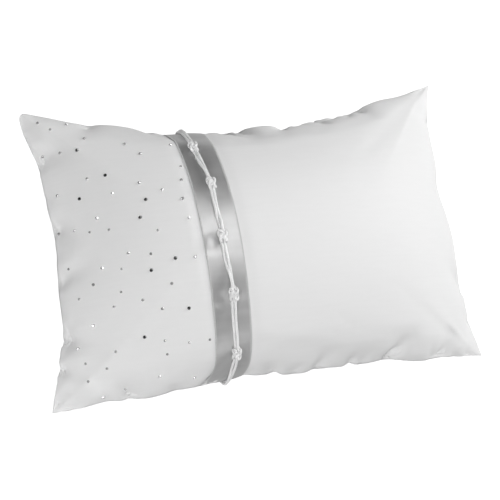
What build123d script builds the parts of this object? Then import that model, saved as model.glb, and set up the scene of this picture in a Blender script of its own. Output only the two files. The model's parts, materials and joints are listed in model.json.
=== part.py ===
# Ring bearer pillow: a stuffed satin pillow lying on its back, front face up.
# Millimetres, +X along the long side, +Z up. The origin is under the middle of the
# pillow, on the surface that it rests on.
from build123d import *
from math import radians, tan
import os

# ---- the stuffed pillow -------------------------------------------------------------
HALF_LENGTH = 147.5      # middle to the corner tips, along X
HALF_WIDTH = 99.5        # middle to the corner tips, along Y
SEAM_HEIGHT = 39.0       # the seam between the two covers lies in this plane
FRONT_CROWN = 47.0       # front cover above the seam
BACK_CROWN = 49.0        # back cover below the seam, before the floor flattens it
BOW_TOP = 24.0           # how far each edge pulls in, halfway between its corners
BOW_BOTTOM = 5.5
BOW_LEFT = 15.5
BOW_RIGHT = 2.5

# Shape factors of the control net, from the middle of the pillow out to its edge.
NET_X = (0.0, 0.46, 0.95, 1.0)
NET_Y = (0.0, 0.36, 0.85, 1.0)
HEIGHT_ALONG_X = (0.81, 1.45, 0.44, 0.0)
HEIGHT_ALONG_Y = (1.25, 0.99, 0.75, 0.0)
BOW_ALONG_X = (1.42, 1.14, 0.08, 0.0)
BOW_ALONG_Y = (1.14, 1.26, 0.30, 0.0)

COVER = 0.5              # thickness of the lined satin
FILL_GAP = 0.1           # cover to fibrefill
BIG = 400.0              # larger than the pillow, for cutting blocks
HAIR = 0.01              # keeps a measuring line off the seam plane itself

# ---- ribbon ------------------------------------------------------------------------
RIBBON_X = -35.0         # middle of the ribbon, at Y = 0
RIBBON_TILT = 2.0        # degrees from the Y axis
RIBBON_WIDTH = 24.0
RIBBON = 0.3             # thickness
RIBBON_GAP = 0.1         # cover to ribbon
LAP_FROM = -72.0         # the ends lap on the back, along the ribbon
LAP_TO = -60.0
GROOVE_WIDER = 1.0       # the back cover's groove, beyond the ribbon's width
LAP_HEM = 1.5            # from the lapped end to its row of stitches
LAP_STITCHES = 7
LAP_STITCH = 1.8         # length of one

# ---- knotted double cord -------------------------------------------------------------
STRAND = 2.0             # diameter
STRAND_SPACING = 2.1     # centre to centre
CORD_CLEAR = 0.5         # strand to ribbon
CORD_LIFT = 0.3          # a little more, halfway between two fixed places
EDGE_CLEAR = 1.6         # where the cord turns over the seam
EDGE_LEAN = 0.6          # nearer to the ribbon again on the front side of that turn
BELOW_SEAM = 3.0         # heights at which the turn starts and ends
ABOVE_SEAM = 6.0
BEND_SHARE = 0.45        # part of a straight run that a bend may use
KNOTS_ALONG = (59.0, 27.5, -9.0, -46.0, -79.5)
KNOT_ALONG = 8.6
KNOT_ACROSS = 8.2
KNOT_TALL = 6.2
KNOT_ROUND = 2.9
KNOT_CLEAR = 0.3         # knot to ribbon
KNOT_PLAY = 0.9          # room for the strands' arcs inside a knot
KNOT_RISE = KNOT_TALL / 2 + KNOT_CLEAR
KNOT_APPROACH = 2.2 * KNOT_ALONG / 2    # from its middle to where the cord lies low again
APPROACH_LIFT = 0.35
PASSAGE_WIDER = 0.4      # the passage in a knot, beyond the two strands
TAIL_ON_BACK = 14.0      # how far in from the seam the strands end, under the pillow
THREAD = 0.4             # sewing thread diameter
TACK_CLEAR = 0.9         # over the strands
TACK_BELOW = 1.2         # past the place where the cord lies low
TAIL_TACKS = (0.5, 0.8)  # places on the tail, as parts of its length

# ---- crystals, flat-backed stones glued to the front cover ---------------------------
STONE_LARGE = 2.8        # diameters
STONE_MEDIUM = 2.4
STONE_SMALL = 2.0
STONE_SIDES = 8
STONE_TALL = 0.4         # height as a part of the diameter
STONE_TAPER = 38.0       # slope of the crown facets
GLUE = 0.08
LARGE_STONES = (
    (-112, 64), (-98, 43), (-115, 31), (-77, 22), (-82, 11),
    (-65, -18), (-80, -23), (-60, -49), (-88, -62),
)
MEDIUM_STONES = (
    (-133, 88), (-115, 85), (-106, 72), (-132, 66), (-122, 65), (-82, 64), (-53, 60),
    (-74, 55), (-109, 43), (-127, 37), (-79, 34), (-53, 32), (-66, 27), (-55, 19),
    (-107, 16), (-128, 14), (-53, 6), (-92, -10), (-79, -13), (-108, -16), (-53, -19),
    (-114, -25), (-69, -33), (-87, -40), (-76, -47), (-117, -50), (-106, -68),
)
SMALL_STONES = (
    (-126, 82), (-51, 42), (-96, 30), (-120, 12), (-112, 8), (-101, 7), (-73, 1),
    (-126, -11), (-97, -19), (-123, -32), (-99, -33), (-104, -41), (-127, -62),
    (-76, -66), (-61, -69), (-48, -69), (-124, -72), (-75, -74), (-112, -77),
    (-124, -83), (-80, -86), (-101, -90), (-57, -89), (-115, -93),
)

# ---- hand stitches that close the bottom seam ----------------------------------------
CLOSING_FROM = 30.0
CLOSING_TO = 102.0
CLOSING_PITCH = 4.0
STITCH = 1.6
STITCH_CLEAR = 0.08      # stitch to seam


def mirrored(factors, sign=1):
    """Net factors for a whole side, from the ones for middle to edge."""
    return [sign * f for f in factors[:0:-1]] + list(factors)


def control_net(offset, crown):
    """Control points of one half of the pillow, grown by an offset on every side."""
    xs = mirrored(NET_X, -1)
    ys = mirrored(NET_Y, -1)
    tall_x = mirrored(HEIGHT_ALONG_X)
    tall_y = mirrored(HEIGHT_ALONG_Y)
    bow_x = mirrored(BOW_ALONG_X)
    bow_y = mirrored(BOW_ALONG_Y)
    rows = []
    for x, high_x, pull_x in zip(xs, tall_x, bow_x):
        side = BOW_RIGHT if x > 0 else BOW_LEFT
        row = []
        for y, high_y, pull_y in zip(ys, tall_y, bow_y):
            end = BOW_TOP if y > 0 else BOW_BOTTOM
            row.append(Vector(
                x * (HALF_LENGTH + offset - side * pull_y),
                y * (HALF_WIDTH + offset - end * pull_x),
                SEAM_HEIGHT + crown * high_x * high_y,
            ))
        rows.append(row)
    return rows


def half_pillow(offset, crown):
    """Closed solid between the seam plane and one crowned Bezier face."""
    crowned = Face.make_bezier_surface(control_net(offset, crown))
    seam_face = Face(Wire(crowned.edges()))
    return Solid(Shell([crowned, seam_face]))


def block(low, high):
    """A cutting block between two heights."""
    return Pos(0, 0, (low + high) / 2) * Box(BIG, BIG, high - low)


def front_half(offset):
    return half_pillow(offset, FRONT_CROWN + offset)


def back_half(offset, floor):
    """The lower half, flat where the pillow rests."""
    return half_pillow(offset, -BACK_CROWN - offset) & block(floor, SEAM_HEIGHT)


def pillow(offset, floor):
    return front_half(offset) + back_half(offset, floor)


def ribbon_place():
    """The ribbon's own frame: X across it, Y along it."""
    return Pos(RIBBON_X, 0, 0) * Rot(0, 0, RIBBON_TILT)


def ribbon_slab(width, along_from=-BIG / 2, along_to=BIG / 2):
    """An upright slab as wide as the ribbon, or as a stretch of it."""
    middle = (along_from + along_to) / 2
    box = Box(width, along_to - along_from, BIG)
    return ribbon_place() * Pos(0, middle, 0) * box


def make_covers():
    """Front and back cover, sewn edge to edge in the seam plane."""
    front = front_half(0) - front_half(-COVER)
    groove_depth = RIBBON + RIBBON_GAP
    groove = ribbon_slab(RIBBON_WIDTH + GROOVE_WIDER) & block(-1, groove_depth)
    back = back_half(0, 0) - groove - back_half(-COVER, groove_depth + COVER)
    return front, back


def make_fill():
    """The stuffing, one soft mass that fills both covers."""
    return pillow(-COVER - FILL_GAP, RIBBON + RIBBON_GAP + COVER + FILL_GAP)


def make_ribbon():
    """A band right round the pillow, with its ends lapped on the back."""
    inside = pillow(RIBBON_GAP, RIBBON)
    outside = pillow(RIBBON_GAP + RIBBON, 0)
    lapped = pillow(RIBBON_GAP + 2 * RIBBON, 0)
    band = ribbon_slab(RIBBON_WIDTH) & (outside - inside)
    below_seam = block(0, SEAM_HEIGHT)
    lap = ribbon_slab(RIBBON_WIDTH, LAP_FROM, LAP_TO) & (lapped - inside) & below_seam
    return band + lap


class Profile:
    """Section of a solid along the ribbon, for laying things on it."""

    def __init__(self, solid):
        self.local = ribbon_place().inverse() * solid

    def hits(self, across, along):
        line = Axis((across, along, -BIG), (0, 0, 1))
        points = self.local.find_intersection_points(line)
        return sorted(points, key=lambda hit: hit[0].Z)

    def over(self, across, along, clear):
        """A point above the front, off the surface by the clearance."""
        point, normal = self.hits(across, along)[-1]
        return point + outward(normal, 1) * clear

    def under(self, across, along, clear):
        """A point below the back."""
        point, normal = self.hits(across, along)[0]
        return point + outward(normal, -1) * clear

    def seam(self, side):
        """Where the ribbon turns over the seam, on the +Y or the -Y side."""
        line = Axis((0, -BIG, SEAM_HEIGHT + HAIR), (0, 1, 0))
        ends = [hit[0].Y for hit in self.local.find_intersection_points(line)]
        return max(ends) if side > 0 else min(ends)


def outward(normal, up):
    """The normal, turned so that it points up or down."""
    unit = normal.normalized()
    return unit if unit.Z * up > 0 else unit * -1


def cord_stations(profile):
    """The cord's middle line, in the ribbon's frame, from back to front to back."""
    lying = STRAND / 2 + CORD_CLEAR
    top = profile.seam(1)
    bottom = profile.seam(-1)
    turn = STRAND + EDGE_CLEAR
    points = [
        profile.under(0, top - TAIL_ON_BACK, lying),
        profile.under(0, top - TAIL_ON_BACK / 3, lying + CORD_LIFT),
        Vector(0, top + turn, SEAM_HEIGHT - BELOW_SEAM),
        Vector(0, top + turn - EDGE_LEAN, SEAM_HEIGHT + ABOVE_SEAM),
    ]
    half_knot = KNOT_ALONG / 2
    for here in KNOTS_ALONG:
        points += [
            profile.over(0, here + KNOT_APPROACH, lying + APPROACH_LIFT),
            profile.over(0, here + half_knot, KNOT_RISE),
            profile.over(0, here - half_knot, KNOT_RISE),
            profile.over(0, here - KNOT_APPROACH, lying + APPROACH_LIFT),
        ]
        following = [k for k in KNOTS_ALONG if k < here]
        if following:
            points.append(profile.over(0, (here + following[0]) / 2, lying + CORD_LIFT))
    points += [
        Vector(0, bottom - turn + EDGE_LEAN, SEAM_HEIGHT + ABOVE_SEAM),
        Vector(0, bottom - turn, SEAM_HEIGHT - BELOW_SEAM),
        profile.under(0, bottom + TAIL_ON_BACK / 3, lying + CORD_LIFT),
        profile.under(0, bottom + TAIL_ON_BACK, lying),
    ]
    return points


def bend_radii(points):
    """An arc as large as its two runs allow, at each corner of the route."""
    radii = []
    for before, here, after in zip(points, points[1:], points[2:]):
        shorter = min((here - before).length, (after - here).length)
        turn = (here - before).get_angle(after - here)
        radii.append(BEND_SHARE * shorter / tan(radians(turn) / 2))
    return radii


def tube(points, diameter):
    """A round tube along straight runs joined by arcs."""
    route = FilletPolyline(*points, radius=bend_radii(points))
    start = Plane(points[0], z_dir=points[1] - points[0])
    return sweep(start * Circle(diameter / 2), path=route)


def make_strand(stations, side):
    """The left (-1) or the right (+1) of the two strands."""
    shift = Vector(side * STRAND_SPACING / 2, 0, 0)
    return ribbon_place() * tube([point + shift for point in stations], STRAND)


def make_knot(profile, along):
    """One overhand knot, tied in both strands: a rounded lump that they pass through."""
    middle = profile.over(0, along, KNOT_RISE)
    ahead = profile.over(0, along + 1, KNOT_RISE) - middle
    lump = Box(KNOT_ALONG, KNOT_ACROSS, KNOT_TALL)
    lump = fillet(lump.edges(), KNOT_ROUND)
    passage_width = STRAND_SPACING + STRAND + PASSAGE_WIDER
    passage = Box(KNOT_ALONG * 2, passage_width, STRAND + KNOT_PLAY)
    place = Plane(middle, x_dir=ahead, z_dir=outward(ahead.cross(Vector(1, 0, 0)), 1))
    return ribbon_place() * (place.location * (lump - passage))


def staple(left, right, down):
    """A stitch over the cord: along from left to right, with a leg at each end."""
    route = [left + down, left, right, right + down]
    return tube(route, THREAD)


def cord_tack(profile, along, back=False):
    """A stitch that holds both strands down to the ribbon."""
    lay = profile.under if back else profile.over
    reach = STRAND_SPACING / 2 + STRAND / 2 + THREAD
    high = STRAND + CORD_CLEAR + TACK_CLEAR
    crest = lay(0, along, high)
    foot = lay(0, along, THREAD)
    sideways = Vector(reach, 0, 0)
    stitch = staple(crest - sideways, crest + sideways, foot - crest)
    return ribbon_place() * stitch


def make_knot_tacks(profile):
    """The cord is caught down to the ribbon just below each knot."""
    below = KNOT_APPROACH + TACK_BELOW
    return Compound([cord_tack(profile, here - below) for here in KNOTS_ALONG[:-1]])


def make_tail_tacks(profile):
    """Stitches over the cord's two ends, on the back."""
    places = []
    for side in (1, -1):
        for inside in TAIL_TACKS:
            places.append(profile.seam(side) - side * TAIL_ON_BACK * inside)
    return Compound([cord_tack(profile, along, back=True) for along in places])


def make_lap_stitches(profile):
    """A row of small stitches along the ribbon's lapped end."""
    along = LAP_FROM + LAP_HEM
    pitch = RIBBON_WIDTH / (LAP_STITCHES + 1)
    stitches = []
    for count in range(LAP_STITCHES):
        middle = (count - LAP_STITCHES // 2) * pitch
        left = profile.under(middle - LAP_STITCH / 2, along, RIBBON + THREAD)
        right = profile.under(middle + LAP_STITCH / 2, along, RIBBON + THREAD)
        bar = Plane(left, z_dir=right - left) * Circle(THREAD / 2)
        stitches.append(ribbon_place() * extrude(bar, (right - left).length))
    return Compound(stitches)


def make_closing_stitches(body):
    """Slip stitches across the bottom seam, where the pillow was closed after filling."""
    stitches = []
    count = int((CLOSING_TO - CLOSING_FROM) / CLOSING_PITCH) + 1
    for number in range(count):
        x = CLOSING_FROM + number * CLOSING_PITCH
        line = Axis((x, -BIG, SEAM_HEIGHT + HAIR), (0, 1, 0))
        edge = min(hit[0].Y for hit in body.find_intersection_points(line))
        bar = Cylinder(THREAD / 2, STITCH)
        stitches.append(Pos(x, edge - THREAD / 2 - STITCH_CLEAR, SEAM_HEIGHT) * bar)
    return Compound(stitches)


def stone(diameter):
    """One flat-backed stone: a faceted frustum with a flat table."""
    girdle = RegularPolygon(diameter / 2, STONE_SIDES)
    return extrude(girdle, diameter * STONE_TALL, taper=STONE_TAPER)


def make_stones(body, places, diameter):
    """Stones of one size, glued to the front cover."""
    cut = stone(diameter)
    stones = []
    for x, y in places:
        line = Axis((x, y, -BIG), (0, 0, 1))
        point, normal = max(body.find_intersection_points(line), key=lambda hit: hit[0].Z)
        up = outward(normal, 1)
        stones.append(Plane(point + up * GLUE, z_dir=up).location * cut)
    return Compound(stones)


def make_parts():
    front, back = make_covers()
    body = pillow(0, 0)
    ribbon = make_ribbon()
    wrapped = pillow(RIBBON_GAP + RIBBON, 0)
    profile = Profile(wrapped)
    stations = cord_stations(profile)
    parts = {
        "front_cover": front,
        "back_cover": back,
        "fibrefill": make_fill(),
        "ribbon_band": ribbon,
        "cord_strand_left": make_strand(stations, -1),
        "cord_strand_right": make_strand(stations, 1),
        "knot_tacks": make_knot_tacks(profile),
        "cord_tail_tacks": make_tail_tacks(profile),
        "ribbon_lap_stitches": make_lap_stitches(profile),
        "closing_stitches": make_closing_stitches(body),
        "crystals_large": make_stones(body, LARGE_STONES, STONE_LARGE),
        "crystals_medium": make_stones(body, MEDIUM_STONES, STONE_MEDIUM),
        "crystals_small": make_stones(body, SMALL_STONES, STONE_SMALL),
    }
    for number, along in enumerate(KNOTS_ALONG, start=1):
        parts[f"cord_knot_{number}"] = make_knot(profile, along)
    return parts


os.makedirs("parts", exist_ok=True)
for node, shape in make_parts().items():
    export_step(shape, f"parts/{node}.step")
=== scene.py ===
"""The looks of the ring bearer pillow, built around its CAD frame. Metres, +Z up."""

import json
import math
import random

import bmesh
import bpy
import numpy as np
from mathutils import Matrix, Vector
from mathutils.bvhtree import BVHTree

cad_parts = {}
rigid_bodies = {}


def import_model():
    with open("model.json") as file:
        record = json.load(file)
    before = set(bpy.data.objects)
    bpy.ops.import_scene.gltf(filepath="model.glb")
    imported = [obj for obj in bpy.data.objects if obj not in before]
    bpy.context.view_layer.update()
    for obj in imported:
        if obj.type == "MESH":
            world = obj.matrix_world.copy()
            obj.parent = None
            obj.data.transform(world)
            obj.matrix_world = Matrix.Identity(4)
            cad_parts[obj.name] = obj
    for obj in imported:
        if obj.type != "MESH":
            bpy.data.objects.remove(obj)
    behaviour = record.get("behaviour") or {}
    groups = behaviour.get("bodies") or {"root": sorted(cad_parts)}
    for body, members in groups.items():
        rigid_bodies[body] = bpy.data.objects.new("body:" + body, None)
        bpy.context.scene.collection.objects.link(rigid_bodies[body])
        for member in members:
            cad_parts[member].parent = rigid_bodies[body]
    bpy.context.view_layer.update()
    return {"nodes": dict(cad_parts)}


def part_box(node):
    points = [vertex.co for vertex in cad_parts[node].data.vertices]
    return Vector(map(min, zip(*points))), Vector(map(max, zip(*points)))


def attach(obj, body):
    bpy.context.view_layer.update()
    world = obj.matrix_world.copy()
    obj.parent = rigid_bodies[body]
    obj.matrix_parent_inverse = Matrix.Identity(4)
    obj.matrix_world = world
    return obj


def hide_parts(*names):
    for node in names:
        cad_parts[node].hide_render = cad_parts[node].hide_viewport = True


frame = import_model()

MM = 0.001

# ---- the pillow's stuffed shape ------------------------------------------------------
FLAT = (0.305, 0.203)        # one cover panel, seam to seam, before it was stuffed
CELL = 0.004                 # cloth grid while it is blown up
FINE = 2                     # finer grid cells in each of those, for the finished covers
cover_low, cover_high = (Vector(corner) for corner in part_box("front_cover"))
HALF_LENGTH = cover_high.x
HALF_WIDTH = cover_high.y
SEAM = cover_low.z           # height of the seam
FRONT_CROWN = cover_high.z - cover_low.z
BACK_CROWN = 49 * MM         # before the floor flattens it
BOW_LEFT, BOW_RIGHT = 15.8 * MM, 2.1 * MM
BOW_BOTTOM, BOW_TOP = 5.2 * MM, 24.2 * MM
BULGE_X, BULGE_Y, BULGE = 2.29, 2.07, 0.7    # how full the pillow is towards its edges
FLOOR_GAP = 0.15 * MM
CORNER_PULLS = {             # how the corner tips were turned out, in mm
    (-1, 1): (3.5, -1.0), (1, 1): (6.0, 0.5), (1, -1): (2.5, -0.5), (-1, -1): (1.0, 1.5),
}
PULL_SHARPNESS = 9           # the higher, the nearer to the tips these act
BLUNT = 2.6                  # mm that the top left tip is rounded back
BLUNT_SHARPNESS = 40
COVER = 0.5 * MM             # thickness of the lined satin
FILLING_SIZE = 0.975         # the fibrefill, as a part of the covers' size

# ---- the cloth's own folds -------------------------------------------------------------
PRESSURE = 5.0
STRETCH_STIFFNESS, SHEAR_STIFFNESS, BEND_STIFFNESS = 40, 13, 0.5
STRETCH_DAMPING, BEND_DAMPING = 5, 0.5
FRAMES = 24
LOOSE = 12 * MM              # how far the middles of the cut panels start from the seam's plane
FOLD_REACH = 45              # smoothing rounds that separate the folds from the shape
FOLD_GAIN = 0.35
CORNER_GAINS = {(-1, 1): -0.1, (1, 1): -0.2, (1, -1): -0.05, (-1, -1): 0.0}
PUCKER_REACH = 6             # the seam keeps its outline, apart from small puckers
PUCKER_GAIN = 0.6
# The deepest tucks, all in front. Edges are 0 top, 1 right, 2 bottom, 3 left, lengths are in mm.
TUCKS = (                    # edge, place along it, width, length, depth, slant
    (3, 58, 4.5, 38, 3.4, 0.3), (3, 22, 4.5, 30, 2.8, -0.2), (3, -8, 4.0, 34, 3.0, 0.3),
    (3, -42, 4.5, 40, 3.6, -0.25), (3, -62, 3.5, 28, 3.0, -0.4),
    (0, -62, 4.0, 26, 3.0, 0.5), (0, -14, 3.5, 36, 3.4, 0.5), (0, -3, 3.2, 30, 2.8, 0.4),
    (0, 28, 4.5, 28, 3.0, -0.3), (0, 86, 4.0, 26, 2.6, 0.4), (0, -96, 4.5, 28, 2.8, -0.4),
    (2, -50, 3.5, 26, 3.4, 0.7), (2, 72, 4.0, 34, 3.4, 0.6), (2, 112, 4.5, 38, 3.2, 0.5),
    (2, -92, 4.5, 28, 2.8, -0.6), (2, 22, 4.0, 22, 2.2, 0.3), (1, 28, 5.0, 28, 2.6, -0.3),
    (1, -36, 5.0, 32, 3.0, 0.3), (1, 66, 4.0, 24, 2.2, 0.3),
)
TUCK_GAIN, TUCK_MOST = 1.35, 6 * MM
TUCK_SPREAD = 1.5            # how much wider a tuck is at its inner end
TUCK_AT_SEAM = 0.3           # share of its depth right at the seam
TUCK_RISE = 4 * MM           # how far in it comes near its full depth
TUCK_LEAN = 0.4              # one wall is steeper than the other
TUCK_END = 30 * MM           # tucks fade out this near to a corner
EARS = (                     # corner, reach of the flattened tip, how flat, ridge behind it
    (-1, -1, 31, 0.5, 1.3), (1, -1, 20, 0.45, 1.0), (-1, 1, 24, 0.25, 0.5),
)
EAR_FADE = 9                 # mm over which a tip's flatness ends
RIDGE_BEHIND, RIDGE_WIDTH = 3, 4.5    # mm
RIDGE_RISE = 8 * MM          # height over the seam at which a ridge is whole
WAVES = 0.7                  # mm that the seam wanders in and out
SHORT_WAVE, LONG_WAVE = 7.3, 14.9     # mm for one radian
WAVE_END, WAVE_DEPTH = 45, 14         # mm: fades out near a corner, and inwards
GATHERS = 70                 # short tucks that run in from the seam
GATHER_DEPTH = (0.4 * MM, 2.2 * MM)
GATHER_WIDTH = (2.0 * MM, 3.6 * MM)
GATHER_LENGTH = (8 * MM, 26 * MM)
GATHER_SLANT = 0.5

# ---- ribbon and cord -------------------------------------------------------------------
ribbon_low, ribbon_high = (Vector(corner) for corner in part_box("ribbon_band"))
RIBBON_TILT = math.radians(2.0)
RIBBON_WIDTH = 24 * MM
RIBBON = 0.3 * MM            # thickness
RIBBON_GAP = 0.25 * MM       # ribbon to cover
RIBBON_START = math.radians(204)    # where its ends lap on the back, as an angle round the pillow
LAP = math.radians(12)
SWEEP = 4 * MM               # it slips to the left where it turns over the bottom seam
SWEEP_AT = math.radians(183)
SWEEP_REACH = 0.16           # radians
PRESS = 0.9 * MM             # how far it presses the cover in
SHOULDER = 7 * MM            # beside the ribbon, where the cover rises again
SELVEDGE = 0.9 * MM
SELVEDGE_RISE = 0.12 * MM    # the woven edge stands a little higher
LAP_RISE = 1.6               # the lapped end over the other, in thicknesses
ANGLES = 300                 # steps round the pillow
LAP_STEPS = 12
COLUMNS = 20                 # steps across the stretch of cover that the ribbon is laid on
RIBBON_COLUMNS = 13
REACH = RIBBON_WIDTH / 2 + 6 * MM
TIGHTENING = 5               # rounds of evening out
ACROSS = Vector((math.cos(RIBBON_TILT), math.sin(RIBBON_TILT), 0))
ALONG = Vector((-math.sin(RIBBON_TILT), math.cos(RIBBON_TILT), 0))
UP = Vector((0, 0, 1))
OUTSIDE = 0.3                # farther from the ribbon's axis than any of the pillow
ABOVE = 0.05                 # from a stone to a place clear of the cover
RIBBON_MIDDLE = Vector((
    (ribbon_low.x + ribbon_high.x) / 2, (ribbon_low.y + ribbon_high.y) / 2, SEAM,
))
STRAND = 0.9 * MM            # radius of a cord strand
STRANDS_APART = 1.01         # half the distance between strands, in their radius
CORD_FROM, CORD_TO = math.radians(-20), math.radians(200)
CORD_STEP = 0.018            # radians
WANDER = 0.35                # mm that the cord strays from side to side
KNOTS = [f"cord_knot_{number}" for number in range(1, 6)]
KNOT_RISE = 1.5 * MM         # a knot's middle above the cord's
KNOT_REACH = 0.03            # from its middle to where the strands leave it, in radians
KNOT_SIZE = (1.35 * MM, 0.74 * MM, 1.1 * MM)
KNOT_OPEN = 0.35             # radians of the trefoil left out at each end
KNOT_POINTS = 34
KNOT_ROLL = 0.3              # radians either way
KNOT_STRAND = 0.85           # the pulled strand, as a part of its radius
KNOT_OFFSETS = (-2.2, 0.2, -0.4, 1.5, 1.0)     # mm to the right of the ribbon's middle
KNOT_SLIDES = (0.05, 0.01, -0.01, -0.01, 0.0)  # round the pillow, in radians
DENTS = (                    # knot number, its middle and reach across and along, depth: in mm
    (3, -6.5, -1.5, 4.5, 5.5, 1.3), (4, -6.0, 0.5, 5.0, 4.5, 1.3), (4, 6.5, 3.0, 5.0, 4.5, 1.0),
)

# ---- stones and stitches ---------------------------------------------------------------
STONE_SCALES = {"large": 0.76, "medium": 0.82, "small": 0.85}    # of the CAD solids' reach
STONE_SIDES = 8
FACET = 2 * math.pi / STONE_SIDES
STONE_TALL = 0.8             # height as a part of the radius
GLUE = 0.02 * MM
THREAD = 0.2 * MM            # radius
TACK_BEHIND = 0.11           # radians from a knot to its stitch
TAIL_TACKS = (0.04, 0.12)    # radians from the cord's ends
COUCHING = 2.35              # half width and height of a stitch over the cord, in strand radii
LAP_STITCHES = 11
LAP_SLANT = 0.4 * MM
LAP_STITCH = 0.012           # half its length, in radians
LAP_STITCH_RISE = 0.3 * MM
SLIP_STITCH = (              # mm from the seam
    (-0.3, 0.9, 0.9), (-0.1, -0.35, 0.3), (0.1, -0.35, -0.3), (0.3, 0.9, -0.9),
)

# ---- stage, light and camera -----------------------------------------------------------
LENS = 81.1
LOOK_FROM_LEFT = math.radians(18.1)
LOOK_FROM_BELOW = math.radians(11.9)
ROLL = math.radians(9.7)
DISTANCE = 0.752
LOOK_AT = Vector((-0.0038, -0.0092, 0.04))
LIGHTS = (                   # name, place, size, power
    ("key", (0.06, 0.17, 1.25), 0.6, 3.2),
    ("left", (-1.0, -0.45, 0.9), 0.5, 7.4),
    ("right", (1.15, 0.4, 0.65), 0.5, 10.8),
    ("low", (-0.1, -1.2, 0.7), 0.5, 1.2),
)
FLOOR = 3                    # half its side
FLOOR_GREY, FLOOR_GLOW = 0.6, 0.8
STUDIO_LEAN = (0.3, -0.32, -0.2)      # how the room's brightness changes along each axis
STUDIO_LEVEL = 0.6
STUDIO_STRENGTH = 0.43


def link(piece):
    bpy.context.scene.collection.objects.link(piece)
    return piece


def make_piece(name, points, faces, material, slot, *nodes):
    """A mesh object that rides on the pillow and stands for CAD nodes."""
    mesh = bpy.data.meshes.new(name)
    mesh.from_pydata([tuple(p) for p in points], [], faces)
    mesh.shade_smooth()
    mesh.materials.append(material)
    piece = link(bpy.data.objects.new(name, mesh))
    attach(piece, "root")
    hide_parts(*nodes)
    return piece


def step_between(low, high, value):
    """From 0 to 1, smoothly, as a value goes from low to high."""
    t = min(max((value - low) / (high - low), 0.0), 1.0)
    return t * t * (3 - 2 * t)


# ---- materials -------------------------------------------------------------------------
class Nodes:
    """Short names for building a material's node tree."""

    def __init__(self, name):
        self.material = bpy.data.materials.new(name)
        self.material.use_nodes = True
        self.tree = self.material.node_tree
        self.shader = self.tree.nodes["Principled BSDF"]
        self.place = self.tree.nodes.new("ShaderNodeTexCoord").outputs["Object"]

    def add(self, kind, inputs=(), **settings):
        node = self.tree.nodes.new(kind)
        for key, value in settings.items():
            setattr(node, key, value)
        for key, value in dict(inputs).items():
            if hasattr(value, "is_output"):
                self.tree.links.new(value, node.inputs[key])
            else:
                node.inputs[key].default_value = value
        return node

    def noise(self, scale, detail=2.0, place=None):
        inputs = {"Vector": place or self.place, "Scale": scale, "Detail": detail}
        return self.add("ShaderNodeTexNoise", inputs).outputs["Fac"]

    def stretched(self, scale, turn=0.0):
        inputs = {"Vector": self.place, "Scale": scale, "Rotation": (0, 0, turn)}
        return self.add("ShaderNodeMapping", inputs).outputs["Vector"]

    def ramp(self, factor, low, high, start=0.0, end=1.0):
        node = self.add("ShaderNodeValToRGB", {"Fac": factor})
        first, last = node.color_ramp.elements
        first.position, last.position = start, end
        first.color = (*low, 1)
        last.color = (*high, 1)
        return node.outputs["Color"]

    def math(self, operation, a, b):
        return self.add("ShaderNodeMath", {0: a, 1: b}, operation=operation).outputs[0]

    def set(self, **values):
        for key, value in values.items():
            socket = self.shader.inputs[key.replace("_", " ")]
            if hasattr(value, "is_output"):
                self.tree.links.new(value, socket)
            else:
                socket.default_value = value

    def bump(self, height, distance, strength=1.0):
        inputs = {"Height": height, "Distance": distance, "Strength": strength}
        bump = self.add("ShaderNodeBump", inputs)
        self.tree.links.new(bump.outputs["Normal"], self.shader.inputs["Normal"])


def grey(value):
    return (value, value, value)


def satin_material():
    """Matte white bridal satin: a fine twill weave with soft slubs."""
    n = Nodes("white_satin")
    slubs = n.noise(60, 3, n.stretched((1.0, 9.0, 1.0)))
    warp = n.noise(2200, 1, n.stretched((1.0, 0.12, 1.0)))
    weft = n.noise(1500, 1, n.stretched((0.12, 1.0, 1.0)))
    weave = n.math("ADD", warp, n.math("MULTIPLY", weft, 0.6))
    n.set(Base_Color=n.ramp(slubs, grey(0.85), grey(0.862), 0.3, 0.7))
    n.set(Roughness=n.math("ADD", n.math("MULTIPLY", warp, 0.1), 0.52))
    n.set(Specular_IOR_Level=0.15, Sheen_Weight=0.12, Sheen_Roughness=0.4)
    n.bump(weave, 0.08 * MM, 0.25)
    return n.material


def ribbon_material():
    """Silver-grey satin ribbon: lengthwise floats that shine across the ribbon."""
    n = Nodes("silver_satin")
    floats = n.noise(2600, 1, n.stretched((1.0, 0.06, 0.06), -RIBBON_TILT))
    bands = n.noise(130, 2, n.stretched((0.15, 1.0, 1.0)))
    n.set(Base_Color=n.ramp(bands, grey(0.56), grey(0.62), 0.3, 0.7))
    n.set(Roughness=n.math("ADD", n.math("MULTIPLY", floats, 0.12), 0.34))
    n.set(Metallic=0.75, Specular_IOR_Level=0.5, Sheen_Weight=0.1, Sheen_Roughness=0.35)
    n.set(Anisotropic=0.55)
    n.bump(floats, 0.06 * MM, 0.5)
    return n.material


def selvedge_material():
    """The ribbon's firm woven edge, a little lighter than its face."""
    n = Nodes("silver_selvedge")
    ribs = n.noise(1800, 1, n.stretched((0.2, 1.0, 1.0), -RIBBON_TILT))
    n.set(Base_Color=n.ramp(ribs, grey(0.5), grey(0.62)), Roughness=0.4)
    n.set(Sheen_Weight=0.2)
    n.bump(ribs, 0.05 * MM, 0.5)
    return n.material


def cord_material():
    """White satin rattail: fine ribs across a glossy braid."""
    n = Nodes("white_rattail")
    ribs = n.noise(2400, 1, n.stretched((0.25, 1.0, 1.0)))
    n.set(Base_Color=n.ramp(ribs, grey(0.84), grey(0.93), 0.3, 0.7))
    n.set(Roughness=n.math("ADD", n.math("MULTIPLY", ribs, 0.12), 0.26))
    n.set(Specular_IOR_Level=0.6, Sheen_Weight=0.3, Sheen_Roughness=0.3)
    n.bump(ribs, 0.1 * MM, 0.6)
    return n.material


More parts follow.
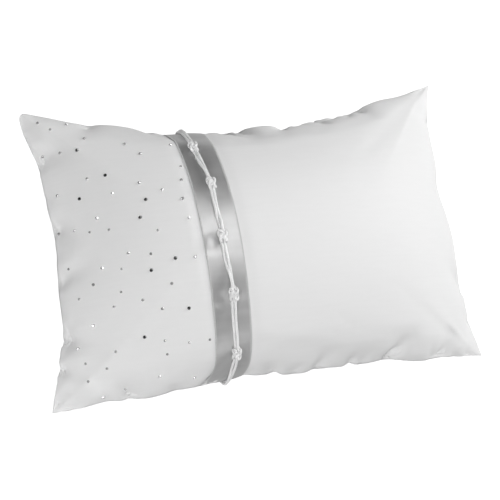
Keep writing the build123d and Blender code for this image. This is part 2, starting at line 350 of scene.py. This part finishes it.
def thread_material():
    n = Nodes("white_thread")
    ply = n.noise(5000, 1)
    n.set(Base_Color=n.ramp(ply, grey(0.78), grey(0.9)), Roughness=0.5)
    n.bump(ply, 0.05 * MM, 0.6)
    return n.material


def crystal_material(name, dark, light):
    """Foil-backed cut glass. Its base colour is painted reflection: greys between the two given,
    at random from stone to stone, for how dark or light the facets look from the room they
    mirror.
    """
    n = Nodes(name)
    # Painted reflection: this noise picks each stone's grey between the darkest and lightest
    # given.
    painted_reflection_mix = n.noise(90, 1)
    n.set(Base_Color=n.ramp(painted_reflection_mix, grey(dark), grey(light), 0.35, 0.65))
    n.set(Metallic=0.7, Roughness=0.08, Coat_Weight=0.7, Coat_Roughness=0.03)
    return n.material


def fibre_material():
    n = Nodes("fibrefill")
    tufts = n.noise(220, 4)
    n.set(Base_Color=n.ramp(tufts, grey(0.8), grey(0.93)), Roughness=0.95)
    n.bump(tufts, 1.0 * MM, 0.8)
    return n.material


satin = satin_material()
silver = ribbon_material()
selvedge = selvedge_material()
rattail = cord_material()
thread = thread_material()
# Painted reflection in these greys: near black for the large stones, for a dark room mirrored in
# their facets, pale for the medium and small ones.
crystals = {
    "large": crystal_material("crystal_large", 0.03, 0.14),
    "medium": crystal_material("crystal_medium", 0.5, 0.8),
    "small": crystal_material("crystal_small", 0.6, 0.88),
}
fibre = fibre_material()


# ---- covers ------------------------------------------------------------------------------
def stuffed(u, v, side):
    """A point of the stuffed pillow, -1 to 1 each way; side is 1 in front, -1 behind."""
    share_x = 0.5 + 0.5 * math.tanh(2.5 * u)
    share_y = 0.5 + 0.5 * math.tanh(2.5 * v)
    bow_x = BOW_LEFT + (BOW_RIGHT - BOW_LEFT) * share_x
    bow_y = BOW_BOTTOM + (BOW_TOP - BOW_BOTTOM) * share_y
    pull = CORNER_PULLS[1 if u > 0 else -1, 1 if v > 0 else -1]
    tip = abs(u * v) ** PULL_SHARPNESS * MM
    x = u * (HALF_LENGTH - (1 - v * v) * bow_x) + pull[0] * tip
    y = v * (HALF_WIDTH - (1 - u * u) * bow_y) + pull[1] * tip
    blunt = BLUNT * MM * max(-u, 0) ** BLUNT_SHARPNESS * max(v, 0) ** BLUNT_SHARPNESS
    x, y = x + blunt, y - blunt
    full = max(0.0, (1 - abs(u) ** BULGE_X) * (1 - abs(v) ** BULGE_Y)) ** BULGE
    crown = FRONT_CROWN if side > 0 else BACK_CROWN
    return Vector((x, y, SEAM + side * crown * full))


def even_steps(curve, count):
    """Parameters from -1 to 1 that cut a curve into equal lengths."""
    fine = np.sin(np.linspace(-math.pi / 2, math.pi / 2, 401))
    points = np.array([curve(t) for t in fine])
    lengths = np.linalg.norm(np.diff(points, axis=0), axis=1)
    along = np.concatenate([[0.0], np.cumsum(lengths)])
    return np.interp(np.linspace(0, along[-1], count + 1), along, fine)


class Cloth:
    """Two cover panels, a grid each, sewn together along their edges."""

    def __init__(self, finer=1):
        self.nx = round(FLAT[0] / CELL) * finer
        self.ny = round(FLAT[1] / CELL) * finer
        us = even_steps(lambda u: stuffed(u, 0, 1), self.nx)
        vs = even_steps(lambda v: stuffed(0, v, 1), self.ny)
        self.ids = {}
        shape = []
        cut = []
        for side in (1, -1):
            for i in range(self.nx + 1):
                for j in range(self.ny + 1):
                    if side < 0 and (i in (0, self.nx) or j in (0, self.ny)):
                        self.ids[side, i, j] = self.ids[1, i, j]
                        continue
                    self.ids[side, i, j] = len(shape)
                    shape.append(stuffed(us[i], vs[j], side))
                    cut.append(self.laid_flat(2 * i / self.nx - 1, 2 * j / self.ny - 1, side))
        self.shape = np.array(shape)
        self.cut = np.array(cut)
        self.quads = {side: self.faces(side) for side in (1, -1)}
        quads = np.array(self.quads[1] + self.quads[-1])
        pairs = np.concatenate([quads[:, [0, 1]], quads[:, [1, 2]]])
        self.links = np.unique(np.sort(pairs, axis=1), axis=0)

    def laid_flat(self, u, v, side):
        loose = LOOSE * (1 - u * u) * (1 - v * v)
        return Vector((u * FLAT[0] / 2, v * FLAT[1] / 2, SEAM + side * loose))

    def faces(self, side):
        quads = []
        for i in range(self.nx):
            for j in range(self.ny):
                ring = [(i, j), (i + 1, j), (i + 1, j + 1), (i, j + 1)]
                quad = [self.ids[side, a, b] for a, b in ring]
                quads.append(quad if side > 0 else quad[::-1])
        return quads

    def blown_up(self):
        """The cut panels under the filling's pressure, with the folds that makes."""
        mesh = bpy.data.meshes.new("cloth")
        mesh.from_pydata(self.cut.tolist(), [], self.quads[1] + self.quads[-1])
        cloth = link(bpy.data.objects.new("cloth", mesh))
        modifier = cloth.modifiers.new("cloth", "CLOTH")
        settings = modifier.settings
        settings.quality = 8
        settings.mass = 0.3
        settings.tension_stiffness = STRETCH_STIFFNESS
        settings.compression_stiffness = STRETCH_STIFFNESS
        settings.shear_stiffness = SHEAR_STIFFNESS
        settings.bending_stiffness = BEND_STIFFNESS
        settings.tension_damping = STRETCH_DAMPING
        settings.compression_damping = STRETCH_DAMPING
        settings.shear_damping = STRETCH_DAMPING
        settings.bending_damping = BEND_DAMPING
        settings.air_damping = 1
        settings.use_pressure = True
        settings.uniform_pressure_force = PRESSURE
        settings.effector_weights.gravity = 0
        modifier.collision_settings.use_collision = False
        modifier.point_cache.frame_start = 1
        modifier.point_cache.frame_end = FRAMES
        for number in range(1, FRAMES + 1):
            bpy.context.scene.frame_set(number)
        evaluated = cloth.evaluated_get(bpy.context.evaluated_depsgraph_get())
        points = np.array([vertex.co[:] for vertex in evaluated.data.vertices])
        bpy.context.scene.frame_set(1)
        bpy.data.objects.remove(cloth)
        return points

    def fine_part(self, points, rounds):
        """What smoothing takes away: the folds, without the overall shape."""
        a, b = self.links.T
        count = np.bincount(self.links.ravel(), minlength=len(points))[:, None]
        smooth = points.copy()
        for _ in range(rounds):
            total = np.zeros_like(smooth)
            np.add.at(total, a, smooth[b])
            np.add.at(total, b, smooth[a])
            smooth = 0.5 * smooth + 0.5 * total / count
        return points - smooth

    def folds(self):
        """How far the cloth's own folds move each point of the stuffed shape."""
        blown = self.blown_up()
        folds = self.fine_part(blown, FOLD_REACH) - self.fine_part(self.shape, FOLD_REACH)
        puckers = self.fine_part(blown, PUCKER_REACH) - self.fine_part(self.shape, PUCKER_REACH)
        folds[:, :2] = puckers[:, :2] * PUCKER_GAIN
        return folds

    def normals(self):
        """Outward at each point of the stuffed shape."""
        quads = np.array(self.quads[1] + self.quads[-1])
        corners = self.shape[quads]
        facing = np.cross(corners[:, 2] - corners[:, 0], corners[:, 3] - corners[:, 1])
        total = np.zeros_like(self.shape)
        for k in range(4):
            np.add.at(total, quads[:, k], facing)
        return total / np.linalg.norm(total, axis=1)[:, None]

    def as_grid(self, values, side):
        columns = range(self.nx + 1)
        rows = range(self.ny + 1)
        return np.array([[values[self.ids[side, i, j]] for j in rows] for i in columns])

    def from_coarse(self, coarse, values):
        """Values of a coarser grid, spread over this one."""
        spread = np.zeros_like(self.shape)
        for side in (1, -1):
            grid = coarse.as_grid(values, side)
            for axis, count in ((0, self.nx), (1, self.ny)):
                place = np.linspace(0, grid.shape[axis] - 1, count + 1)
                low = np.minimum(place.astype(int), grid.shape[axis] - 2)
                share = place - low
                rounded = share * share * (3 - 2 * share)
                share = rounded * 0.5 + share * 0.5
                share = share[:, None, None] if axis == 0 else share[None, :, None]
                first = np.take(grid, low, axis=axis)
                grid = first + share * (np.take(grid, low + 1, axis=axis) - first)
            for i in range(self.nx + 1):
                for j in range(self.ny + 1):
                    spread[self.ids[side, i, j]] = grid[i, j]
        return spread


def seam_place(u, v):
    """Nearest edge of a panel (0 to 3), the place along it and the distance in from it."""
    x, y = u * FLAT[0] / 2, v * FLAT[1] / 2
    ways = [(FLAT[1] / 2 - y, x, 0), (FLAT[0] / 2 - x, y, 1),
            (FLAT[1] / 2 + y, x, 2), (FLAT[0] / 2 + x, y, 3)]
    inward, along, edge = min(ways)
    return edge, along, inward


def gathers(cloth, chance):
    """Tucks in the seam: narrow dips that start at it and fade out inwards."""
    tucks = [(edge, place * MM, wide * MM, length * MM, deep * MM, slant, True)
             for edge, place, wide, length, deep, slant in TUCKS]
    for _ in range(GATHERS):
        edge = chance.choice((0, 0, 0, 1, 2, 2, 3, 3))
        half = FLAT[edge % 2] / 2
        tucks.append((
            edge, chance.uniform(-half, half), chance.uniform(*GATHER_WIDTH),
            chance.uniform(*GATHER_LENGTH), chance.uniform(*GATHER_DEPTH),
            chance.uniform(-GATHER_SLANT, GATHER_SLANT), chance.choice((True, True, False)),
        ))
    half_edge = [FLAT[edge % 2] / 2 for edge in range(4)]
    depths = np.zeros(len(cloth.shape))
    for (side, i, j), number in cloth.ids.items():
        edge, along, inward = seam_place(2 * i / cloth.nx - 1, 2 * j / cloth.ny - 1)
        for where, middle, width, length, depth, slant, front_only in tucks:
            if where != edge or inward > length or (front_only and side < 0):
                continue
            wider = width * (1 + TUCK_SPREAD * inward / length)
            off = (along - middle - slant * inward) / wider
            if abs(off) < 3:
                fade = (1 - inward / length) * min(1.0, TUCK_AT_SEAM + inward / TUCK_RISE)
                fade *= step_between(half_edge[edge], half_edge[edge] - TUCK_END, abs(along))
                depths[number] += depth * fade * math.exp(-off * off) * (1 - TUCK_LEAN * off)
    return -cloth.normals() * np.minimum(TUCK_GAIN * depths, TUCK_MOST)[:, None]


def ears(cloth):
    """Corner tips that the filling doesn't reach, with a soft ridge behind each."""
    moves = np.zeros_like(cloth.shape)
    for (side, i, j), number in cloth.ids.items():
        x = (2 * i / cloth.nx - 1) * FLAT[0] / 2
        y = (2 * j / cloth.ny - 1) * FLAT[1] / 2
        height = cloth.shape[number][2] - SEAM
        for sx, sy, reach, flat, ridge in EARS:
            away = math.hypot(FLAT[0] / 2 - sx * x, FLAT[1] / 2 - sy * y) / MM
            inside = step_between(reach, reach - EAR_FADE, away)
            hill = math.exp(-((away - reach - RIDGE_BEHIND) / RIDGE_WIDTH) ** 2)
            hill *= min(1, abs(height) / RIDGE_RISE)
            moves[number, 2] += side * ridge * MM * hill - height * flat * inside
    return moves


def waves(cloth):
    """The seam wanders a little in and out, and the cloth near it follows."""
    moves = np.zeros_like(cloth.shape)
    for (_, i, j), number in cloth.ids.items():
        edge, along, inward = seam_place(2 * i / cloth.nx - 1, 2 * j / cloth.ny - 1)
        run = along / MM
        half = FLAT[edge % 2] / 2 / MM
        held = step_between(half, half - WAVE_END, abs(run))
        held *= math.exp(-(inward / MM / WAVE_DEPTH) ** 2)
        short = math.sin(run / SHORT_WAVE + 2.1 * edge)
        long = 1.3 * math.sin(run / LONG_WAVE + 1.3 * edge + 1)
        moves[number, 1 - edge % 2] = WAVES * MM * held * (short + long)
    return moves


def under_ribbon(points):
    """How the ribbon presses the pillow in, deeper where a knot is stitched down."""
    offsets = points - np.array(RIBBON_MIDDLE)
    across = offsets @ np.array(ACROSS)
    along = offsets @ np.array(ALONG)
    outside = np.clip((np.abs(across) - RIBBON_WIDTH / 2) / SHOULDER, 0, 1)
    depth = PRESS * (1 - outside) ** 2 * (1 + outside * 2)
    inward = -(np.outer(along, ALONG) + np.outer(offsets[:, 2], UP))
    inward /= np.linalg.norm(inward, axis=1)[:, None] + 1e-9
    moves = inward * depth[:, None]
    for number, right, up, wide, tall, deep in DENTS:
        low, high = (Vector(corner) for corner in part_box(KNOTS[number - 1]))
        knot = (low + high) / 2 - RIBBON_MIDDLE
        x = (across / MM - knot.dot(ACROSS) / MM - right) / wide
        y = (along / MM - knot.dot(ALONG) / MM - up) / tall
        moves[:, 2] -= np.where(offsets[:, 2] > 0, deep * MM, 0) * np.exp(-x * x - y * y)
    return moves


def settled(cloth):
    """The stuffed shape with its folds and tucks, resting on the floor, in the ribbon's grip."""
    points = cloth.shape.copy()
    coarse = Cloth()
    folds = cloth.from_coarse(coarse, coarse.folds())
    x, y = points[:, 0] / HALF_LENGTH, points[:, 1] / HALF_WIDTH
    gain = FOLD_GAIN * np.ones(len(points))
    for (sx, sy), more in CORNER_GAINS.items():
        gain += more * np.clip(sx * x, 0, 1) * np.clip(sy * y, 0, 1)
    points += folds * gain[:, None]
    points += gathers(cloth, random.Random(5)) + ears(cloth) + waves(cloth)
    points[:, 2] = np.maximum(points[:, 2], FLOOR_GAP)
    return points + under_ribbon(points)


cloth = Cloth(FINE)
cover_points = settled(cloth)


def make_cover(name, side, node):
    """One satin panel, a thin shell with its raw edge in the seam."""
    quads = cloth.quads[side]
    used = sorted({vertex for quad in quads for vertex in quad})
    place = {vertex: number for number, vertex in enumerate(used)}
    faces = [[place[vertex] for vertex in quad] for quad in quads]
    piece = make_piece(name, cover_points[used], faces, satin, "cover_satin", node)
    thick = piece.modifiers.new("lined", "SOLIDIFY")
    thick.thickness = COVER
    thick.offset = -1
    return piece


front = make_cover("front_cover_satin", 1, "front_cover")
back = make_cover("back_cover_satin", -1, "back_cover")


def make_filling():
    """The fibrefill, a soft mass a little smaller than the covers."""
    middle = np.array([0, 0, SEAM])
    points = middle + (cover_points - middle) * FILLING_SIZE
    faces = cloth.quads[1] + cloth.quads[-1]
    piece = make_piece("fibrefill_mass", points, faces, fibre, "filling", "fibrefill")
    return piece


make_filling()


# ---- things laid on the covers -----------------------------------------------------------
cover_tree = BVHTree.FromPolygons(
    [Vector(p) for p in cover_points], cloth.quads[1] + cloth.quads[-1],
)


def turned(angle):
    """The direction at an angle round the pillow: 0 at its top edge, 90 degrees in front."""
    return ALONG * math.cos(angle) + UP * math.sin(angle)


def cover_radius(across, angle):
    """From the ribbon's axis out to the cover."""
    middle = RIBBON_MIDDLE + ACROSS * across
    outward = turned(angle)
    hit = cover_tree.ray_cast(middle + outward * OUTSIDE, -outward)[0]
    return (hit - middle).length


columns = np.linspace(-REACH, REACH, COLUMNS + 1)
angles = np.linspace(0, 2 * math.pi, ANGLES, endpoint=False)
cover_profile = np.array([[cover_radius(w, angle) for angle in angles] for w in columns])


def drawn_tight(profile):
    """A taut band over the cover: evened out round the pillow and from edge to edge."""
    band = profile.copy()
    for _ in range(TIGHTENING):
        band = 0.5 * band + 0.25 * (np.roll(band, 1, axis=1) + np.roll(band, -1, axis=1))
        padded = np.pad(band, ((1, 1), (0, 0)), mode="edge")
        band = 0.5 * band + 0.25 * (padded[:-2] + padded[2:])
    return np.maximum(band, profile + RIBBON_GAP)


ribbon_profile = drawn_tight(cover_profile)


def band_point(across, angle, lift=0.0):
    """A point on the ribbon, or lifted off it."""
    from_sweep = (angle % (2 * math.pi) - SWEEP_AT) / SWEEP_REACH
    across = across - SWEEP * math.exp(-from_sweep ** 2)
    place = np.interp(across, columns, np.arange(COLUMNS + 1))
    low = min(int(place), COLUMNS - 1)
    share = place - low
    turn = (angle / (2 * math.pi)) % 1 * ANGLES
    a = int(turn) % ANGLES
    b = (a + 1) % ANGLES
    rows = ribbon_profile[low] * (1 - share) + ribbon_profile[low + 1] * share
    radius = rows[a] * (1 - turn % 1) + rows[b] * (turn % 1)
    point = RIBBON_MIDDLE + ACROSS * across + turned(angle) * (radius + lift)
    point.z = max(point.z, FLOOR_GAP + RIBBON)
    return point


def make_ribbon():
    """One strip round the pillow; its last stretch laps over its first."""
    once_round = RIBBON_START + 2 * math.pi
    turns = np.linspace(RIBBON_START, once_round + LAP, ANGLES + LAP_STEPS)
    side = RIBBON_WIDTH / 2
    inset = side - SELVEDGE
    across = [-side, *np.linspace(-inset, inset, RIBBON_COLUMNS), side]
    count = len(across)
    points = []
    for turn in turns:
        over = step_between(once_round - LAP, once_round, turn)
        for column, w in enumerate(across):
            edge = SELVEDGE_RISE if column in (0, count - 1) else 0
            points.append(band_point(w, turn, over * LAP_RISE * RIBBON + edge))
    faces = []
    for i in range(len(turns) - 1):
        for j in range(count - 1):
            a = i * count + j
            faces.append((a, a + count, a + count + 1, a + 1))
    ribbon = make_piece("ribbon_silver", points, faces, silver, "ribbon_satin", "ribbon_band")
    ribbon.data.materials.append(selvedge)
    for polygon in ribbon.data.polygons:
        if polygon.index % (count - 1) in (0, count - 2):
            polygon.material_index = 1
    thick = ribbon.modifiers.new("woven", "SOLIDIFY")
    thick.thickness = RIBBON
    thick.offset = 0
    rounded = ribbon.modifiers.new("round", "SUBSURF")
    rounded.levels = rounded.render_levels = 1


make_ribbon()


# ---- knotted cord ------------------------------------------------------------------------
def angle_of(node):
    """Where a CAD node lies round the pillow."""
    low, high = (Vector(corner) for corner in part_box(node))
    offset = (low + high) / 2 - RIBBON_MIDDLE
    return math.atan2(offset.dot(UP), offset.dot(ALONG))


knot_angles = [angle_of(node) + slide for node, slide in zip(KNOTS, KNOT_SLIDES)]
chance = random.Random(12)


def make_tubes(name, routes, radius, material, slot, *nodes):
    """Round tubes along lists of points, as one curve object."""
    curve = bpy.data.curves.new(name, "CURVE")
    curve.dimensions = "3D"
    curve.bevel_depth = radius
    curve.bevel_resolution = 3
    curve.use_fill_caps = True
    curve.materials.append(material)
    for route in routes:
        spline = curve.splines.new("NURBS")
        spline.points.add(len(route) - 1)
        for point, place in zip(spline.points, route):
            point.co = (*place, 1)
        spline.order_u = 3
        spline.use_endpoint_u = True
        spline.resolution_u = 3
    piece = link(bpy.data.objects.new(name, curve))
    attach(piece, "root")
    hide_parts(*nodes)


def cord_line(turn):
    """The middle between the strands, across the ribbon."""
    wander = np.interp(turn, knot_angles, KNOT_OFFSETS) + WANDER * math.sin(9 * turn + 0.6)
    return wander * MM


def twist_at(turn):
    """How far the pair of strands has turned about its own line."""
    return 0.6 * math.sin(5.1 * turn) + 0.5 * math.sin(13.3 * turn + 1.0)


def strand_route(side, start, end):
    """One strand between two knots, beside or over the other."""
    route = []
    for turn in np.linspace(start, end, max(8, int((end - start) / CORD_STEP))):
        wander = cord_line(turn)
        twist = twist_at(turn)
        apart = STRAND * STRANDS_APART
        across = wander + side * apart * math.cos(twist)
        height = STRAND + apart * abs(math.sin(twist)) + side * apart * math.sin(twist)
        route.append(band_point(across, turn, RIBBON / 2 + height))
    return route


stops = [CORD_FROM]
for turn in knot_angles:
    stops += [turn - KNOT_REACH, turn + KNOT_REACH]
stops.append(CORD_TO)
for side, name in ((-1, "left"), (1, "right")):
    stretches = [strand_route(side, *ends) for ends in zip(stops[::2], stops[1::2])]
    make_tubes(f"rattail_{name}", stretches, STRAND, rattail, "cord",
               f"cord_strand_{name}")


def overhand(mirror):
    """One strand's turn through a knot, in units of the knot: an opened trefoil."""
    sunk = -0.9 * KNOT_RISE / KNOT_SIZE[2]
    route = [(-3.6, -1.15 * mirror, sunk), (-2.4, -1.2 * mirror, 0.3 * sunk)]
    for t in np.linspace(math.pi + KNOT_OPEN, 3 * math.pi - KNOT_OPEN, KNOT_POINTS):
        x = math.sin(t) + 2 * math.sin(2 * t)
        y = math.cos(t) - 2 * math.cos(2 * t) + 1.2
        route.append((x, y * mirror, -math.sin(3 * t) * mirror))
    return route + [(2.4, -1.2 * mirror, 0.3 * sunk), (3.6, -1.15 * mirror, sunk)]


def make_knot(node, turn):
    """Both strands tied together in one overhand knot."""
    wander = cord_line(turn)
    middle = band_point(wander, turn, RIBBON / 2 + KNOT_RISE + STRAND)
    behind = band_point(wander, turn - KNOT_REACH)
    ahead = (band_point(wander, turn + KNOT_REACH) - behind).normalized()
    upward = ACROSS.cross(ahead)
    if upward.dot(turned(turn)) < 0:
        upward = -upward
    frame_turn = Matrix((ahead, ahead.cross(upward), upward)).transposed()
    roll = Matrix.Rotation(chance.uniform(-KNOT_ROLL, KNOT_ROLL), 3, "X")
    routes = []
    for mirror in (1, -1):
        points = [roll @ Vector(np.multiply(p, KNOT_SIZE)) for p in overhand(mirror)]
        routes.append([middle + frame_turn @ point for point in points])
    make_tubes(f"overhand_{node[-1]}", routes, KNOT_STRAND * STRAND, rattail, "cord", node)


for node, turn in zip(KNOTS, knot_angles):
    make_knot(node, turn)


# ---- crystals ----------------------------------------------------------------------------
def islands(node):
    """Middle and radius of each separate solid of a CAD node."""
    grid = bmesh.new()
    grid.from_mesh(frame["nodes"][node].data)
    bmesh.ops.remove_doubles(grid, verts=grid.verts, dist=1e-6)
    waiting = set(grid.verts)
    found = []
    while waiting:
        stack = [waiting.pop()]
        group = []
        while stack:
            vertex = stack.pop()
            group.append(vertex.co.copy())
            for edge in vertex.link_edges:
                other = edge.other_vert(vertex)
                if other in waiting:
                    waiting.remove(other)
                    stack.append(other)
        middle = sum(group, Vector()) / len(group)
        found.append((middle, max((point - middle).length for point in group)))
    grid.free()
    return sorted(found, key=lambda island: tuple(island[0]))


def stone_rings(radius):
    """A flat-backed stone's rings: radius, height, and 1 where it is turned half a facet."""
    tall = STONE_TALL * radius
    return [(radius, 0.0, 0), (radius, 0.18 * tall, 0), (0.8 * radius, 0.62 * tall, 1),
            (0.5 * radius, tall, 0)]


def add_stone(points, faces, place, normal, radius):
    """Eight-sided, its back on the cover."""
    turn = normal.to_track_quat("Z", "Y").to_matrix()
    spin = chance.uniform(0, FACET)
    base = len(points)
    for ring, height, half in stone_rings(radius):
        for k in range(STONE_SIDES):
            angle = spin + (k + half / 2) * FACET
            point = Vector((ring * math.cos(angle), ring * math.sin(angle), height))
            points.append(place + turn @ point)

    def at(ring, k):
        return base + STONE_SIDES * ring + k % STONE_SIDES

    for k in range(STONE_SIDES):
        faces.append((at(0, k), at(0, k + 1), at(1, k + 1), at(1, k)))
        faces.append((at(1, k), at(1, k + 1), at(2, k)))
        faces.append((at(2, k), at(1, k + 1), at(2, k + 1)))
        faces.append((at(2, k), at(2, k + 1), at(3, k + 1)))
        faces.append((at(2, k), at(3, k + 1), at(3, k)))
    faces.append([at(3, k) for k in range(STONE_SIDES)])
    faces.append([at(0, STONE_SIDES - 1 - k) for k in range(STONE_SIDES)])


def make_stones(size, scale, name, node):
    """One stone on the cover at the place of each of a CAD node's solids."""
    points = []
    faces = []
    for middle, radius in islands(node):
        hit, normal = cover_tree.ray_cast(middle + UP * ABOVE, -UP)[:2]
        if normal.z < 0:
            normal = -normal
        add_stone(points, faces, hit + normal * GLUE, normal, scale * radius)
    stones = make_piece(name, points, faces, crystals[size], "crystal", node)
    stones.data.shade_flat()


for size, scale in STONE_SCALES.items():
    make_stones(size, scale, f"stones_{size}", f"crystals_{size}")


# ---- hand stitches -----------------------------------------------------------------------
def arch(start, end, lift):
    """A stitch from one point to another, raised in its middle."""
    middle = (start + end) / 2 + lift
    return [start - lift * 0.5, start + lift * 0.6, middle, end + lift * 0.6, end - lift * 0.5]


def couching(turn, across):
    """A stitch over both strands, down into the ribbon on each side."""
    half = COUCHING * STRAND
    left = band_point(across - half, turn)
    right = band_point(across + half, turn)
    return arch(left, right, turned(turn) * half)


tack_turns = [knot + TACK_BEHIND for knot in knot_angles[:-1]]
knot_stitches = [couching(turn, cord_line(turn)) for turn in tack_turns]
make_tubes("knot_stitches", knot_stitches, THREAD, thread, "thread", "knot_tacks")
tail_turns = [CORD_FROM + reach for reach in TAIL_TACKS]
tail_turns += [CORD_TO - reach for reach in reversed(TAIL_TACKS)]
tail_stitches = [couching(turn, cord_line(turn)) for turn in tail_turns]
make_tubes("tail_stitches", tail_stitches, THREAD, thread, "thread", "cord_tail_tacks")


def lap_stitches():
    """Small slanted stitches over the ribbon's lapped end."""
    lap_end = RIBBON_START + LAP
    stitches = []
    for number in range(LAP_STITCHES):
        w = (number - LAP_STITCHES // 2) * RIBBON_WIDTH / (LAP_STITCHES + 1)
        start = band_point(w - LAP_SLANT, lap_end + LAP_STITCH, THREAD / 2)
        end = band_point(w + LAP_SLANT, lap_end - LAP_STITCH, 2 * RIBBON)
        stitches.append(arch(start, end, turned(lap_end) * LAP_STITCH_RISE))
    return stitches


make_tubes("lap_stitches", lap_stitches(), THREAD, thread, "thread", "ribbon_lap_stitches")


def closing_stitches():
    """Slip stitches over the bottom seam, at the places of the CAD ones."""
    seam = [Vector(cover_points[cloth.ids[1, i, 0]]) for i in range(cloth.nx + 1)]
    stitches = []
    for middle, _ in islands("closing_stitches"):
        edge = min(seam, key=lambda point: abs(point.x - middle.x))
        stitches.append([edge + Vector(place) * MM for place in SLIP_STITCH])
    return stitches


make_tubes("slip_stitches", closing_stitches(), THREAD, thread, "thread", "closing_stitches")


# ---- stage, light and camera -----------------------------------------------------------
def make_camera():
    """It looks at the front from the lower left, a little rolled."""
    camera = link(bpy.data.objects.new("camera", bpy.data.cameras.new("camera")))
    camera.data.lens = LENS
    towards = Vector((
        -math.sin(LOOK_FROM_LEFT) * math.cos(LOOK_FROM_BELOW),
        -math.sin(LOOK_FROM_BELOW),
        math.cos(LOOK_FROM_LEFT) * math.cos(LOOK_FROM_BELOW),
    ))
    across = Vector((0, 1, 0)).cross(towards).normalized()
    upward = towards.cross(across)
    right = across * math.cos(ROLL) - upward * math.sin(ROLL)
    up = across * math.sin(ROLL) + upward * math.cos(ROLL)
    turn = Matrix((right, up, towards)).transposed().to_4x4()
    camera.matrix_world = Matrix.Translation(LOOK_AT + towards * DISTANCE) @ turn
    bpy.context.scene.camera = camera


def make_light(name, place, size, energy):
    """A soft box that faces the pillow."""
    light = link(bpy.data.objects.new(name, bpy.data.lights.new(name, "AREA")))
    light.data.size = size
    light.data.energy = energy
    light.location = place
    aim = Vector((0, 0, SEAM)) - light.location
    light.rotation_euler = aim.to_track_quat("-Z", "Y").to_euler()


def make_floor():
    """White paper. Its glow lights nothing: only the camera sees it."""
    n = Nodes("white_paper")
    seen = n.add("ShaderNodeLightPath").outputs["Is Camera Ray"]
    n.set(Base_Color=(*grey(FLOOR_GREY), 1), Roughness=0.8, Emission_Color=(1, 1, 1, 1))
    n.set(Emission_Strength=n.math("MULTIPLY", seen, FLOOR_GLOW))
    mesh = bpy.data.meshes.new("floor")
    corners = [(-FLOOR, -FLOOR, 0), (FLOOR, -FLOOR, 0), (FLOOR, FLOOR, 0), (-FLOOR, FLOOR, 0)]
    mesh.from_pydata(corners, [], [(0, 1, 2, 3)])
    mesh.materials.append(n.material)
    link(bpy.data.objects.new("floor", mesh))


def make_studio():
    """A pale room, brightest to the right and darker behind the top edge and overhead."""
    world = bpy.data.worlds.new("studio")
    bpy.context.scene.world = world
    world.use_nodes = True
    tree = world.node_tree
    background = tree.nodes["Background"]
    place = tree.nodes.new("ShaderNodeTexCoord")
    lean = tree.nodes.new("ShaderNodeVectorMath")
    lean.operation = "DOT_PRODUCT"
    lean.inputs[1].default_value = STUDIO_LEAN
    level = tree.nodes.new("ShaderNodeMath")
    level.operation = "ADD"
    level.inputs[1].default_value = STUDIO_LEVEL
    tree.links.new(place.outputs["Generated"], lean.inputs[0])
    tree.links.new(lean.outputs["Value"], level.inputs[0])
    tree.links.new(level.outputs[0], background.inputs["Color"])
    background.inputs["Strength"].default_value = STUDIO_STRENGTH


make_floor()
make_studio()
for name, place, size, energy in LIGHTS:
    make_light(name, place, size, energy)
make_camera()
bpy.context.scene.view_settings.view_transform = "Standard"
